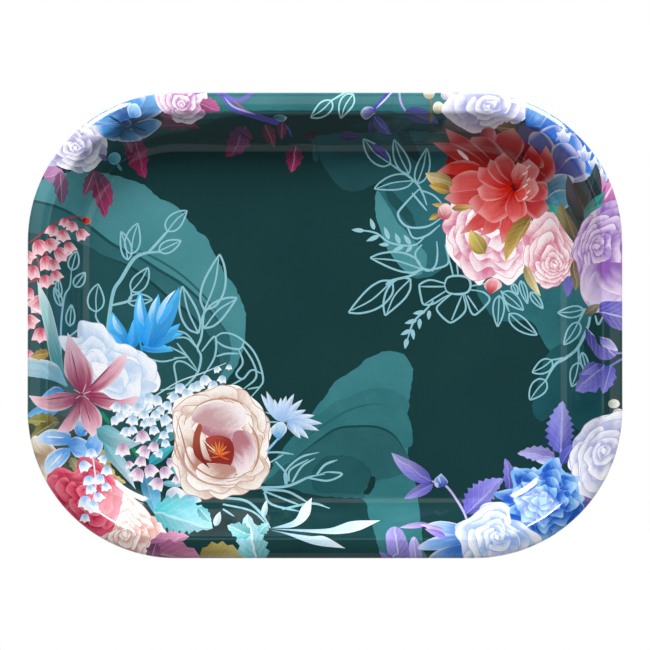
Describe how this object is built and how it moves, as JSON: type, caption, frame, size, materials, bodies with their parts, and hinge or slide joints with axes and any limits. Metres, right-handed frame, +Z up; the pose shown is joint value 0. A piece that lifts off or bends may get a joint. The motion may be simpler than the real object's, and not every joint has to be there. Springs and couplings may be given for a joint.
{
  "type": "painted tray",
  "caption": "Small oblong pressed tinplate tray with rounded corners, a curled rim and a printed floral face on deep green.",
  "frame": {"origin": "middle of the flat underside, on the surface the tray rests on", "axes": "+X along the tray's length, +Y away from the side the picture is seen from, +Z up out of the well"},
  "size_m": [0.18, 0.141, 0.015],
  "materials": {
    "tinplate": "bright tinplate under clear lacquer",
    "steel_wire": "drawn steel wire",
    "printed_enamel": "printed flowers on deep green under gloss varnish"
  },
  "bodies": {
    "root": {"tray_shell": "tinplate", "rim_wire": "steel_wire", "print_coat": "printed_enamel"}
  },
  "joints": []
}
